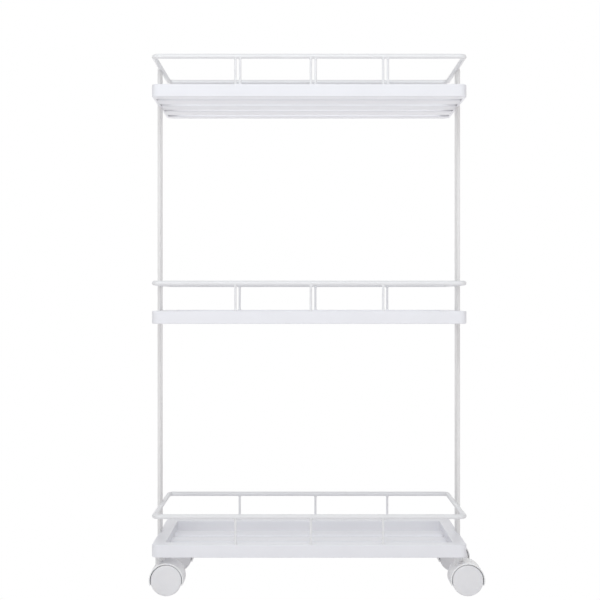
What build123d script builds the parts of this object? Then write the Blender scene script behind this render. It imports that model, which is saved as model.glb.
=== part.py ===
"""Slim three-tier rolling pantry cart, in millimetres, +Z up.

The origin is on the floor, midway between the two uprights and midway between the front and
back of the trays. X runs along the trays, Y from front to back.
"""

import os

from build123d import *

# --- driving dimensions ---------------------------------------------------------------------

# trays
tray_length = 395.0
tray_depth = 200.0
tray_height = 16.0
tray_corner_radius = 9.0
side_tube_width = 20.0
end_tube_width = 16.0
tube_wall = 1.2
inside_corner_radius = 2.0

# tiers, from the bottom tray upwards
lower_bay_pitch = 292.5
upper_bay_pitch = 284.0

# slats: flat tube, laid along the tray
slat_width = 32.0
slat_height = 5.5
slat_wall = 1.0
slat_edge_radius = 2.2
slat_end_gap = 0.3
slat_tongue_drop = 0.3
slat_tongue_gap = 0.5

# guard rails and the short wires that carry them
rail_height = 54.0
rail_wire = 6.0
rail_bend_radius = 7.0
rail_end_overhang = 0.2
post_wire = 3.0
front_post_places = (-92.5, 2.0, 92.5)
rear_post_places = (-96.0, 10.0, 110.5)
twin_post_pitch = 6.0

# uprights
upright_thickness = 4.0
upright_width = 28.0
upright_let_in = 2.5
upright_seat_clearance = 0.2
upright_corner_radius = 3.0

# countersunk screws and their weld nuts
screw_diameter = 4.0
screw_head_diameter = 7.6
screw_length = 9.0
screw_spacing = 16.0
screw_hole_clearance = 0.4
thread_clearance = 0.1
weld_nut_across_flats = 7.0
weld_nut_height = 3.2
hex_socket = 2.5
hex_socket_depth = 1.5

# casters
wheel_diameter = 39.0
caster_head_height = 10.5
wheel_width = 12.7
wheel_recess = 0.2
caster_width = 40.0
caster_trail = 9.7
caster_setback = 25.0
hood_wheel_gap = 0.7
hood_wall = 1.4
hood_rim_radius = 0.45
hood_skirt = 6.3
hood_web_thickness = 13.0
hood_axle_boss_radius = 7.5
neck_diameter = 11.0
swivel_pin_diameter = 7.0
swivel_pin_length = 25.0
stem_thread_diameter = 8.0
stem_thread_length = 11.0
stem_collar_height = 0.9
washer_thickness = 0.5
running_gap = 0.3
pin_clearance = 0.05
ring_thickness = 0.8
ring_groove_depth = 0.6
caster_nut_width = 13.0
caster_nut_height = 6.0
axle_diameter = 4.0
axle_end_chamfer = 0.4
face_over_axle = 2.6
snap_groove_start = 14.0
snap_groove_width = 2.0
snap_depth = 0.35
hub_radius = 5.0
wheel_face_thickness = 3.0
wheel_rim_thickness = 3.2
wheel_edge_radius = 2.2
rib_count = 6
rib_thickness = 1.4

# --- sizes that follow from them --------------------------------------------------------------

caster_height = wheel_diameter + caster_head_height
tray_bases = {
    "bottom": caster_height,
    "middle": caster_height + lower_bay_pitch,
    "top": caster_height + lower_bay_pitch + upper_bay_pitch,
}
overall_height = tray_bases["top"] + rail_height
inside_length = tray_length - 2 * end_tube_width
inside_depth = tray_depth - 2 * side_tube_width
slat_gap = (inside_depth - 3 * slat_width) / 4
slat_pitch = slat_width + slat_gap
slat_length = tray_length - 2 * (upright_let_in + tube_wall + slat_end_gap)
upright_inner_x = tray_length / 2 - upright_let_in
upright_seat_width = upright_width + 2 * upright_seat_clearance
rail_radius = rail_wire / 2
upright_top = overall_height - rail_radius
rail_half_length = tray_length / 2 + rail_end_overhang - rail_radius
rail_half_depth = tray_depth / 2 - rail_radius
screw_rise = (slat_height + tray_height - tube_wall) / 2
stem_x = tray_length / 2 - end_tube_width / 2
stem_y = tray_depth / 2 - caster_setback
nut_pad_y = stem_y - caster_nut_width / 2 - running_gap
wheel_radius = wheel_diameter / 2
hood_inner_radius = wheel_radius + hood_wheel_gap
hood_outer_radius = hood_inner_radius + hood_wall
collar_bottom = caster_height - stem_collar_height
washer_bottom = collar_bottom - washer_thickness
neck_top = washer_bottom - running_gap
pin_bottom = collar_bottom - swivel_pin_length
ring_base = pin_bottom + 2.0
wheel_outer_y = caster_width / 2 - wheel_recess
wheel_inner_y = wheel_outer_y - wheel_width
axle_half_length = wheel_outer_y - face_over_axle


# --- trays --------------------------------------------------------------------------------------


def ring_sketch(height, inset):
    """Plan of the tray frame at a height, drawn in from every face of the tube by the inset."""
    with BuildSketch(Plane.XY.offset(height)) as ring:
        Rectangle(tray_length - 2 * inset, tray_depth - 2 * inset)
        fillet(ring.vertices(), tray_corner_radius - inset)
        with Locations((tray_length / 2, 0), (-tray_length / 2, 0)):
            Rectangle(
                2 * (upright_let_in + inset),
                upright_seat_width + 2 * inset,
                mode=Mode.SUBTRACT,
            )
        with BuildSketch(Plane.XY.offset(height), mode=Mode.SUBTRACT) as opening:
            Rectangle(inside_length + 2 * inset, inside_depth + 2 * inset)
            fillet(opening.vertices(), inside_corner_radius + inset)
    return ring.sketch


def make_tray_frame(base, carries_casters):
    """Ring of square-cornered tube whose ends are open underneath, so that the slats run in."""
    with BuildPart() as frame:
        add(ring_sketch(base, 0))
        extrude(amount=tray_height)
        add(ring_sketch(base + tube_wall, tube_wall))
        extrude(amount=tray_height - 2 * tube_wall, mode=Mode.SUBTRACT)
        with BuildSketch(Plane.XY.offset(base)) as underside:
            for side in (-1, 1):
                outer = side * (tray_length / 2 - upright_let_in - tube_wall)
                inner = side * inside_length / 2
                with Locations(((outer + inner) / 2, 0)):
                    Rectangle(abs(outer - inner), inside_depth)
            if carries_casters:
                pad_depth = inside_depth / 2 - nut_pad_y
                with GridLocations(0, inside_depth - pad_depth, 1, 2):
                    Rectangle(tray_length, pad_depth, mode=Mode.SUBTRACT)
        extrude(amount=slat_height - slat_tongue_drop, mode=Mode.SUBTRACT)
        for side in (-1, 1):
            face = Plane(
                origin=(side * upright_inner_x, 0, base + screw_rise), z_dir=(side, 0, 0)
            )
            with BuildSketch(face):
                with Locations((0, screw_spacing / 2), (0, -screw_spacing / 2)):
                    Circle((screw_diameter + screw_hole_clearance) / 2)
            extrude(amount=-2 * tube_wall, mode=Mode.SUBTRACT)
        if carries_casters:
            with BuildSketch(Plane.XY.offset(base)):
                with GridLocations(2 * stem_x, 2 * stem_y, 2, 2):
                    Circle((stem_thread_diameter + screw_hole_clearance) / 2)
            extrude(amount=tube_wall, mode=Mode.SUBTRACT)
    return frame


def make_slat(base, y, carries_casters):
    """Flat tube with rounded edges, open at its ends, pressed thinner where it enters the frame."""
    with BuildPart() as slat:
        with BuildSketch(Plane.YZ.offset(-slat_length / 2)):
            with Locations((y, base + slat_height / 2)):
                Rectangle(slat_width, slat_height)
        extrude(amount=slat_length)
        fillet(slat.edges().filter_by(Axis.X), slat_edge_radius)
        ends = [slat.faces().sort_by(Axis.X)[0], slat.faces().sort_by(Axis.X)[-1]]
        offset(amount=-slat_wall, openings=ends)
        tongue_start = inside_length / 2 - slat_tongue_gap
        tongue_length = slat_length / 2 - tongue_start
        with BuildSketch(Plane.XY.offset(base + slat_height - slat_tongue_drop)):
            with Locations((0, y)):
                with GridLocations(slat_length - tongue_length, 0, 2, 1):
                    Rectangle(tongue_length, slat_width)
        extrude(amount=slat_tongue_drop, mode=Mode.SUBTRACT)
        if carries_casters and y != 0:
            with BuildSketch(Plane.XY.offset(base)):
                with GridLocations(inside_length + end_tube_width, 2 * stem_y, 2, 2):
                    Rectangle(
                        end_tube_width + 2 * running_gap,
                        caster_nut_width + 4 * running_gap,
                    )
            extrude(amount=slat_height, mode=Mode.SUBTRACT)
    return slat


# --- guard rails --------------------------------------------------------------------------------


def make_guard_rail(base):
    """Closed loop of round wire, bent at the four corners and butt-welded."""
    height = base + rail_height - rail_radius
    corners = [
        (-rail_half_length, -rail_half_depth, height),
        (rail_half_length, -rail_half_depth, height),
        (rail_half_length, rail_half_depth, height),
        (-rail_half_length, rail_half_depth, height),
    ]
    with BuildPart() as rail:
        with BuildLine() as loop:
            FilletPolyline(*corners, radius=rail_bend_radius, close=True)
        with BuildSketch(Plane(origin=loop.line @ 0, z_dir=loop.line % 0)):
            Circle(rail_radius)
        sweep(path=loop.line)
    return rail


def make_posts(base, y, places):
    """Short wires from the top of the tray tube to the underside of the rail."""
    height = base + rail_height - rail_radius
    foot = base + tray_height
    with BuildPart() as posts:
        with BuildSketch(Plane.XY.offset(foot)):
            with Locations(*[(x, y) for x in places]):
                Circle(post_wire / 2)
        extrude(amount=height - foot)
        with BuildSketch(Plane.YZ.offset(-rail_half_length)):
            with Locations((y, height)):
                Circle(rail_radius)
        extrude(amount=2 * rail_half_length, mode=Mode.SUBTRACT)
    return posts


# --- uprights and their screws ------------------------------------------------------------------


def screw_planes(side, x, base):
    """Planes of the two screws that hold one upright to one tray, facing outwards."""
    return [
        Plane(origin=(side * x, y, base + screw_rise), z_dir=(side, 0, 0))
        for y in (-screw_spacing / 2, screw_spacing / 2)
    ]


def make_upright(side):
    """Flat bar, let into the tray ends, notched for two guard rails and coped under the third."""
    outer_x = upright_inner_x + upright_thickness
    with BuildPart() as upright:
        with BuildSketch(Plane.YZ.offset(side * upright_inner_x)) as outline:
            with Locations((0, (caster_height + upright_top) / 2)):
                Rectangle(upright_width, upright_top - caster_height)
            fillet(outline.vertices(), upright_corner_radius)
        extrude(amount=side * upright_thickness)
        for base in tray_bases.values():
            with Locations(*screw_planes(side, outer_x, base)):
                CounterSinkHole(
                    radius=(screw_diameter + screw_hole_clearance) / 2,
                    counter_sink_radius=screw_head_diameter / 2 + thread_clearance,
                    depth=upright_thickness,
                    counter_sink_angle=90,
                )
            notch = Plane.XZ.offset(-upright_width)
            with BuildSketch(notch):
                with Locations((side * rail_half_length, base + rail_height - rail_radius)):
                    Circle(rail_radius)
            extrude(amount=2 * upright_width, mode=Mode.SUBTRACT)
    return upright


def make_screws(base):
    """Four countersunk socket screws, two through each upright."""
    shank = screw_diameter / 2
    head = screw_head_diameter / 2
    with BuildPart() as screw:
        with BuildSketch(Plane.XZ):
            with BuildLine():
                Polyline(
                    (0, 0),
                    (head, 0),
                    (shank, shank - head),
                    (shank, -screw_length),
                    (0, -screw_length),
                    close=True,
                )
            make_face()
        revolve(axis=Axis.Z)
        with BuildSketch(Plane.XY):
            RegularPolygon(hex_socket / 2, 6, major_radius=False)
        extrude(amount=-hex_socket_depth, mode=Mode.SUBTRACT)
    outer_x = upright_inner_x + upright_thickness
    with BuildPart() as screws:
        with Locations(*screw_planes(-1, outer_x, base), *screw_planes(1, outer_x, base)):
            add(screw.part)
    return screws


def make_weld_nuts(base):
    """Hexagon nuts welded inside the tube ends, one behind each screw."""
    inner_x = upright_inner_x - tube_wall
    with BuildPart() as nuts:
        for side in (-1, 1):
            for plane in screw_planes(side, inner_x, base):
                with BuildSketch(plane):
                    RegularPolygon(weld_nut_across_flats / 2, 6, major_radius=False)
                    Circle((screw_diameter + thread_clearance) / 2, mode=Mode.SUBTRACT)
                extrude(amount=-weld_nut_height)
    return nuts


# --- casters ------------------------------------------------------------------------------------


def make_caster_nuts():
    """Square nuts inside the corners of the bottom tray, one for each caster stem."""
    with BuildPart() as nuts:
        with BuildSketch(Plane.XY.offset(caster_height + tube_wall)):
            with GridLocations(2 * stem_x, 2 * stem_y, 2, 2):
                Rectangle(caster_nut_width, caster_nut_width)
                Circle((stem_thread_diameter + thread_clearance) / 2, mode=Mode.SUBTRACT)
        extrude(amount=caster_nut_height)
    return nuts


def make_stem(x, y):
    """Turned steel stem: swivel pin below, collar, and the thread that enters the tray."""
    pin = swivel_pin_diameter / 2
    groove = pin - ring_groove_depth
    groove_bottom = ring_base - thread_clearance
    groove_top = ring_base + ring_thickness + thread_clearance
    thread = stem_thread_diameter / 2
    with BuildPart() as stem:
        with BuildSketch(Plane(origin=(x, y, 0), x_dir=(1, 0, 0), z_dir=(0, -1, 0))):
            with BuildLine():
                Polyline(
                    (0, pin_bottom),
                    (pin, pin_bottom),
                    (pin, groove_bottom),
                    (groove, groove_bottom),
                    (groove, groove_top),
                    (pin, groove_top),
                    (pin, collar_bottom),
                    (neck_diameter / 2, collar_bottom),
                    (neck_diameter / 2, caster_height),
                    (thread, caster_height),
                    (thread, caster_height + stem_thread_length),
                    (0, caster_height + stem_thread_length),
                    close=True,
                )
            make_face()
        revolve(axis=Axis((x, y, 0), (0, 0, 1)))
        chamfer(stem.edges().sort_by(Axis.Z)[-1], 0.8)
        chamfer(stem.edges().sort_by(Axis.Z)[0], 0.6)
    return stem


def make_washer(x, y):
    """Slip washer between the collar and the neck of the hood."""
    with BuildPart() as washer:
        with BuildSketch(Plane.XY.offset(washer_bottom)):
            with Locations((x, y)):
                Circle(neck_diameter / 2)
                Circle(swivel_pin_diameter / 2 + pin_clearance, mode=Mode.SUBTRACT)
        extrude(amount=washer_thickness)
    return washer


def make_stem_ring(x, y):
    """Split spring ring in the groove of the pin, which keeps the hood on the stem."""
    inner = swivel_pin_diameter / 2 - ring_groove_depth + pin_clearance
    outer = inner + 2 * ring_groove_depth
    with BuildPart() as ring:
        with BuildSketch(Plane.XY.offset(ring_base)):
            with Locations((x, y)):
                Circle(outer)
                Circle(inner, mode=Mode.SUBTRACT)
            with Locations((x - outer, y)):
                Rectangle(outer, ring_thickness, mode=Mode.SUBTRACT)
        extrude(amount=ring_thickness)
    return ring


def make_hood(x, y):
    """Moulded hood: an arched cover over both wheels, a web between them and a swivel neck."""
    upright_plane = Plane(
        origin=(x + caster_trail, y, wheel_radius), x_dir=(1, 0, 0), z_dir=(0, -1, 0)
    )
    ring_pocket = swivel_pin_diameter / 2 + ring_groove_depth + running_gap
    with BuildPart() as hood:
        with BuildSketch(upright_plane):
            Circle(hood_outer_radius)
            Circle(hood_inner_radius, mode=Mode.SUBTRACT)
            with Locations((0, -hood_skirt - hood_outer_radius)):
                Rectangle(3 * hood_outer_radius, 2 * hood_outer_radius, mode=Mode.SUBTRACT)
        extrude(amount=caster_width / 2, both=True)
        rims = hood.edges().filter_by(GeomType.CIRCLE)
        fillet(rims, hood_rim_radius)
        with BuildSketch(upright_plane):
            Circle(hood_inner_radius + hood_wall / 2)
            with Locations((0, -hood_skirt - hood_outer_radius)):
                Rectangle(3 * hood_outer_radius, 2 * hood_outer_radius, mode=Mode.SUBTRACT)
            Circle(hood_axle_boss_radius)
        extrude(amount=hood_web_thickness / 2, both=True)
        with BuildSketch(Plane.XY.offset(wheel_radius)):
            with Locations((x, y)):
                Circle(neck_diameter / 2)
        extrude(amount=neck_top - wheel_radius)
        with BuildSketch(Plane.XY.offset(pin_bottom - running_gap)):
            with Locations((x, y)):
                Circle(swivel_pin_diameter / 2 + pin_clearance)
        extrude(amount=neck_top, mode=Mode.SUBTRACT)
        with BuildSketch(Plane.XY.offset(ring_base - running_gap)):
            with Locations((x, y)):
                Circle(ring_pocket)
        extrude(amount=ring_thickness + 2 * running_gap, mode=Mode.SUBTRACT)
        with BuildSketch(upright_plane):
            Circle(axle_diameter / 2)
        extrude(amount=hood_web_thickness, both=True, mode=Mode.SUBTRACT)
    return hood


def make_axle(x, y):
    """Steel axle pressed through the web, with a groove near each end for the wheels."""
    with BuildPart() as axle:
        with BuildSketch(
            Plane(origin=(x + caster_trail, y, wheel_radius), x_dir=(1, 0, 0), z_dir=(0, -1, 0))
        ):
            Circle(axle_diameter / 2)
        extrude(amount=axle_half_length, both=True)
        chamfer(axle.edges().filter_by(GeomType.CIRCLE), axle_end_chamfer)
        for side in (-1, 1):
            groove_plane = Plane(
                origin=(x + caster_trail, y + side * snap_groove_start, wheel_radius),
                x_dir=(1, 0, 0),
                z_dir=(0, side, 0),
            )
            with BuildSketch(groove_plane):
                Circle(axle_diameter)
                Circle(axle_diameter / 2 - snap_depth, mode=Mode.SUBTRACT)
            extrude(amount=snap_groove_width, mode=Mode.SUBTRACT)
    return axle


def make_wheel(x, y, facing):
    """Moulded wheel, dished and ribbed behind its plain disc, snapped on one end of the axle."""
    centre = (x + caster_trail, y, wheel_radius)
    bore = axle_diameter / 2 + pin_clearance
    bead = bore - snap_depth / 2
    bead_start = snap_groove_start + snap_groove_width / 4
    bead_end = snap_groove_start + snap_groove_width * 3 / 4
    bore_end = axle_half_length + running_gap
    back_of_face = wheel_outer_y - wheel_face_thickness
    rim_inside = wheel_radius - wheel_rim_thickness
    with BuildPart() as wheel:
        with BuildSketch(Plane(origin=centre, x_dir=(0, facing, 0), z_dir=(facing, 0, 0))) as cut:
            with BuildLine():
                Polyline(
                    (wheel_inner_y, bore),
                    (bead_start, bore),
                    (bead_start, bead),
                    (bead_end, bead),
                    (bead_end, bore),
                    (bore_end, bore),
                    (bore_end, 0),
                    (wheel_outer_y, 0),
                    (wheel_outer_y, wheel_radius),
                    (wheel_inner_y, wheel_radius),
                    (wheel_inner_y, rim_inside),
                    (back_of_face, rim_inside),
                    (back_of_face, hub_radius),
                    (wheel_inner_y, hub_radius),
                    close=True,
                )
            make_face()
            tread_corners = cut.vertices().group_by(Axis.Y)[-1]
            fillet(tread_corners, wheel_edge_radius)
        revolve(axis=Axis(centre, (0, 1, 0)))
        rib_plane = Plane(origin=centre, x_dir=(1, 0, 0), z_dir=(0, facing, 0))
        rib_start = (wheel_inner_y + back_of_face) / 3
        with BuildSketch(rib_plane.offset(rib_start)):
            with PolarLocations((hub_radius + rim_inside) / 2, rib_count):
                Rectangle(rim_inside - hub_radius + rib_thickness / 2, rib_thickness)
        extrude(amount=back_of_face - rib_start)
    return wheel


# --- the whole cart -----------------------------------------------------------------------------


def write(piece, name):
    """Label a finished piece and write it under its own name."""
    piece.part.label = name
    export_step(piece.part, f"parts/{name}.step")


os.makedirs("parts", exist_ok=True)

for tier, base in tray_bases.items():
    carries_casters = tier == "bottom"
    write(make_tray_frame(base, carries_casters), f"{tier}_tray_frame")
    for place, row in (("front", -1), ("middle", 0), ("rear", 1)):
        write(make_slat(base, row * slat_pitch, carries_casters), f"{tier}_{place}_slat")
    front_places = list(front_post_places)
    if tier == "top":
        front_places += [x + twin_post_pitch for x in front_post_places]
    write(make_guard_rail(base), f"{tier}_guard_rail")
    write(make_posts(base, -rail_half_depth, front_places), f"{tier}_front_posts")
    write(make_posts(base, rail_half_depth, rear_post_places), f"{tier}_rear_posts")
    write(make_screws(base), f"{tier}_screws")
    write(make_weld_nuts(base), f"{tier}_weld_nuts")

write(make_upright(-1), "left_upright")
write(make_upright(1), "right_upright")
write(make_caster_nuts(), "caster_nuts")

for row, y in (("front", -stem_y), ("rear", stem_y)):
    outward = -1 if row == "front" else 1
    for end, x in (("left", -stem_x), ("right", stem_x)):
        corner = f"{row}_{end}"
        write(make_stem(x, y), f"{corner}_stem")
        write(make_washer(x, y), f"{corner}_washer")
        write(make_stem_ring(x, y), f"{corner}_stem_ring")
        write(make_hood(x, y), f"{corner}_hood")
        write(make_axle(x, y), f"{corner}_axle")
        write(make_wheel(x, y, outward), f"{corner}_outer_wheel")
        write(make_wheel(x, y, -outward), f"{corner}_inner_wheel")
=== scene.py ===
import math

import bmesh
import bpy
from mathutils import Matrix, Vector


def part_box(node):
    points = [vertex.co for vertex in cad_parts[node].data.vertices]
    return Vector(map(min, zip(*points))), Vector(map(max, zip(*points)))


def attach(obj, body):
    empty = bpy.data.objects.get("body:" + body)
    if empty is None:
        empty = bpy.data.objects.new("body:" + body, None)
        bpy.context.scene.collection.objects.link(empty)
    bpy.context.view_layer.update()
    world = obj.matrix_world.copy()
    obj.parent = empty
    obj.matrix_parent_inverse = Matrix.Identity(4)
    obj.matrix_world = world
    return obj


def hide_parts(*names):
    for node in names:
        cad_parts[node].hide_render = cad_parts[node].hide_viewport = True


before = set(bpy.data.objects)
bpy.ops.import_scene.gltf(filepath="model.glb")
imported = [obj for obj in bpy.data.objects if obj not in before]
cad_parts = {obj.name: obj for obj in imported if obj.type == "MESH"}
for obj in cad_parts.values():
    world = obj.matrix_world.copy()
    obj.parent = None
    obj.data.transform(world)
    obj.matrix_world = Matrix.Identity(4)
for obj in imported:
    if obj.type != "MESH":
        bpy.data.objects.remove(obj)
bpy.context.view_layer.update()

# --- tray frames ----------------------------------------------------------------------------
# A ring of thin square-cornered steel tube, mitred, welded, ground and powder coated white. The
# end tubes are open underneath for the slats and seated outside for the upright. Small plates
# close them off at the corners of the two upper trays.

TIERS = ("bottom", "middle", "top")
SIDES = {"left": -1, "right": 1}
TRAY_INSIDE_X = 0.1815
TRAY_INSIDE_Y = 0.080
TRAY_OUTER_CORNER = 0.009
TRAY_INNER_CORNER = 0.002
TUBE_EDGE = 0.0013
TUBE_WALL = 0.0012
OPEN_END_HEIGHT = 0.0052
NUT_PAD_START = 0.0682
SEAT_DEPTH = 0.0025
SEAT_HALF_WIDTH = 0.0142
HOLLOW_EDGE = 0.0001
OPENING_PAST_FACE = 0.001
CUTTER_MARGIN = 0.002
PLATE_PAST_FACE = 0.0012
PLATE_SHORT = 0.0008
PLATE_LAP = 0.0003
PLATE_BELOW = 0.0001
PLATE_ABOVE = 0.0005


def powder_coat(title, colour, roughness, peel):
    """Baked white coat: faint orange peel, a slow drift of thickness and of gloss."""
    material = bpy.data.materials.new(title)
    material.use_nodes = True
    nodes = material.node_tree.nodes
    links = material.node_tree.links
    shader = nodes["Principled BSDF"]
    shader.inputs["IOR"].default_value = 1.5
    shader.inputs["Coat Weight"].default_value = 0.12
    shader.inputs["Coat Roughness"].default_value = 0.28
    place = nodes.new("ShaderNodeTexCoord")

    drift = nodes.new("ShaderNodeTexNoise")
    drift.inputs["Scale"].default_value = 22.0
    drift.inputs["Detail"].default_value = 3.0
    links.new(place.outputs["Object"], drift.inputs["Vector"])
    tint = nodes.new("ShaderNodeValToRGB")
    tint.color_ramp.elements[0].position = 0.3
    tint.color_ramp.elements[0].color = [*(0.975 * part for part in colour), 1.0]
    tint.color_ramp.elements[1].position = 0.7
    tint.color_ramp.elements[1].color = [*colour, 1.0]
    links.new(drift.outputs["Fac"], tint.inputs["Fac"])
    links.new(tint.outputs["Color"], shader.inputs["Base Color"])

    cure = nodes.new("ShaderNodeTexNoise")
    cure.inputs["Scale"].default_value = 90.0
    cure.inputs["Detail"].default_value = 4.0
    links.new(place.outputs["Object"], cure.inputs["Vector"])
    gloss = nodes.new("ShaderNodeMapRange")
    gloss.inputs["To Min"].default_value = roughness - 0.06
    gloss.inputs["To Max"].default_value = roughness + 0.08
    links.new(cure.outputs["Fac"], gloss.inputs["Value"])
    links.new(gloss.outputs["Result"], shader.inputs["Roughness"])

    orange = nodes.new("ShaderNodeTexNoise")
    orange.inputs["Scale"].default_value = 620.0
    orange.inputs["Detail"].default_value = 2.0
    orange.inputs["Roughness"].default_value = 0.45
    links.new(place.outputs["Object"], orange.inputs["Vector"])
    bump = nodes.new("ShaderNodeBump")
    bump.inputs["Strength"].default_value = peel
    bump.inputs["Distance"].default_value = 0.00006
    links.new(orange.outputs["Fac"], bump.inputs["Height"])
    links.new(bump.outputs["Normal"], shader.inputs["Normal"])
    return material


tray_coat = powder_coat("tray_coat_white", (0.88, 0.88, 0.92), 0.42, 0.55)


def rounded_outline(half_x, half_y, corner, steps=8):
    """Points round a rectangle with rounded corners, anticlockwise."""
    points = []
    for turn, (along, across) in enumerate(((1, 1), (-1, 1), (-1, -1), (1, -1))):
        for step in range(steps + 1):
            angle = math.pi / 2 * (turn + step / steps)
            x = along * (half_x - corner) + corner * math.cos(angle)
            y = across * (half_y - corner) + corner * math.sin(angle)
            points.append((x, y))
    return points


def rounded_edge(radius, steps=4):
    """Pairs of inset and drop that turn a square edge into a round one."""
    pairs = []
    for step in range(steps + 1):
        angle = math.pi / 2 * step / steps
        pairs.append((radius * (1 - math.cos(angle)), radius * (1 - math.sin(angle))))
    return pairs


def loft(shape, rings, closed):
    """Skin through rings of the same number of points, capped flat unless it closes on itself."""
    rows = [[shape.verts.new(point) for point in ring] for ring in rings]
    if closed:
        rows.append(rows[0])
    for low, high in zip(rows, rows[1:]):
        for i, corner in enumerate(low):
            j = (i + 1) % len(low)
            shape.faces.new((corner, low[j], high[j], high[i]))
    if not closed:
        shape.faces.new(list(reversed(rows[0])))
        shape.faces.new(rows[-1])


def add_block(shape, low, high):
    """Plain block between two corners."""
    (x0, y0, z0), (x1, y1, z1) = low, high
    loft(
        shape,
        [[(x0, y0, z), (x1, y0, z), (x1, y1, z), (x0, y1, z)] for z in (z0, z1)],
        closed=False,
    )


def to_object(shape, name, material=None):
    """Object from a finished bmesh, with its faces turned outwards."""
    bmesh.ops.remove_doubles(shape, verts=shape.verts, dist=1e-7)
    bmesh.ops.recalc_face_normals(shape, faces=shape.faces)
    mesh = bpy.data.meshes.new(name)
    shape.to_mesh(mesh)
    shape.free()
    if material:
        mesh.materials.append(material)
    made = bpy.data.objects.new(name, mesh)
    bpy.context.scene.collection.objects.link(made)
    return made


def apply_modifiers(piece):
    """Turn what the modifiers make into the piece's own mesh."""
    bpy.context.view_layer.update()
    shown = piece.evaluated_get(bpy.context.evaluated_depsgraph_get())
    mesh = bpy.data.meshes.new_from_object(shown)
    piece.modifiers.clear()
    piece.data = mesh
    mesh.name = piece.name


def cut(piece, cutter):
    """Cut one closed shape out of another."""
    step = piece.modifiers.new("cut", "BOOLEAN")
    step.operation = "DIFFERENCE"
    step.solver = "EXACT"
    step.object = cutter
    apply_modifiers(piece)
    bpy.data.objects.remove(cutter)


def smooth(piece, crease=32.0):
    """Smooth shading with crisp creases, flat faces kept flat."""
    piece.data.shade_smooth()
    piece.data.set_sharp_from_angle(angle=math.radians(crease))
    step = piece.modifiers.new("flats", "WEIGHTED_NORMAL")
    step.keep_sharp = True
    step.weight = 60
    apply_modifiers(piece)


def ring_of_tube(shape, half_x, half_y, low, high, wall, edge):
    """Closed ring: the outer and inner outlines, drawn in by the wall, with rounded edges."""
    bottom = [(inset, low + drop) for inset, drop in rounded_edge(edge)]
    top = [(inset, high - drop) for inset, drop in rounded_edge(edge)]
    rings = []
    for inset, z in bottom[::-1] + top:
        inward = wall + inset
        outline = rounded_outline(half_x - inward, half_y - inward, TRAY_OUTER_CORNER - inward)
        rings.append([(x, y, z) for x, y in outline])
    for inset, z in top[::-1] + bottom:
        outward = wall + inset
        outline = rounded_outline(
            TRAY_INSIDE_X + outward, TRAY_INSIDE_Y + outward, TRAY_INNER_CORNER + outward
        )
        rings.append([(x, y, z) for x, y in outline])
    loft(shape, rings, closed=True)


for tier in TIERS:
    low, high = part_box(f"{tier}_tray_frame")
    shape = bmesh.new()
    ring_of_tube(shape, high[0], high[1], low[2], high[2], 0.0, TUBE_EDGE)
    tray = to_object(shape, f"{tier}_tray_frame_coated", tray_coat)
    hollow = bmesh.new()
    levels = (low[2] + TUBE_WALL, high[2] - TUBE_WALL)
    ring_of_tube(hollow, high[0], high[1], *levels, TUBE_WALL, HOLLOW_EDGE)
    cut(tray, to_object(hollow, "hollow"))
    openings = bmesh.new()
    open_half = NUT_PAD_START if tier == "bottom" else TRAY_INSIDE_Y
    for side in SIDES.values():
        inner_end = TRAY_INSIDE_X - OPENING_PAST_FACE
        ends = sorted((side * inner_end, side * (high[0] - SEAT_DEPTH - TUBE_WALL)))
        add_block(
            openings,
            (ends[0], -open_half, low[2] - CUTTER_MARGIN),
            (ends[1], open_half, low[2] + OPEN_END_HEIGHT),
        )
        seat = sorted((side * (high[0] - SEAT_DEPTH), side * (high[0] + CUTTER_MARGIN)))
        add_block(
            openings,
            (seat[0], -SEAT_HALF_WIDTH, low[2] - CUTTER_MARGIN),
            (seat[1], SEAT_HALF_WIDTH, high[2] + CUTTER_MARGIN),
        )
    cut(tray, to_object(openings, "openings"))
    if tier != "bottom":
        shape = bmesh.new()
        shape.from_mesh(tray.data)
        for side in SIDES.values():
            inner_end = TRAY_INSIDE_X - PLATE_PAST_FACE
            ends = sorted((side * inner_end, side * (high[0] - PLATE_SHORT)))
            for row in SIDES.values():
                inner_side = TRAY_INSIDE_Y - PLATE_LAP
                across = sorted((row * inner_side, row * (TRAY_INSIDE_Y + TUBE_WALL)))
                add_block(
                    shape,
                    (ends[0], across[0], low[2] + PLATE_BELOW),
                    (ends[1], across[1], high[2] - PLATE_ABOVE),
                )
        shape.to_mesh(tray.data)
        shape.free()
    smooth(tray)
    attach(tray, "cart")
    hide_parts(f"{tier}_tray_frame")

# --- slats ----------------------------------------------------------------------------------
# Three lengths of flat steel tube per tray. Each end is pressed a little thinner, pushed into
# the open underside of the end tube and tacked there before the tray is coated.

SLAT_WALL = 0.001
SLAT_EDGE = 0.0022
SLAT_TONGUE_DROP = 0.0003
SLAT_TONGUE_START = 0.1808
SLAT_TONGUE_TAPER = 0.0012


def geometry_tree(title, inputs):
    """Empty geometry tree with named inputs; returns it with its input and output nodes."""
    tree = bpy.data.node_groups.new(title, "GeometryNodeTree")
    tree.interface.new_socket("Geometry", in_out="INPUT", socket_type="NodeSocketGeometry")
    for label, kind in inputs.items():
        tree.interface.new_socket(label, in_out="INPUT", socket_type=f"NodeSocket{kind}")
    tree.interface.new_socket("Geometry", in_out="OUTPUT", socket_type="NodeSocketGeometry")
    return tree, tree.nodes.new("NodeGroupInput"), tree.nodes.new("NodeGroupOutput")


def add_node(tree, kind, links=(), values=(), **settings):
    """Node of a tree, with its settings, its plain values and what feeds it, by socket name."""
    made = tree.nodes.new(kind)
    for name, value in settings.items():
        setattr(made, name, value)
    for name, value in dict(values).items():
        made.inputs[name].default_value = value
    for name, source in dict(links).items():
        tree.links.new(source, made.inputs[name])
    return made


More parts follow.
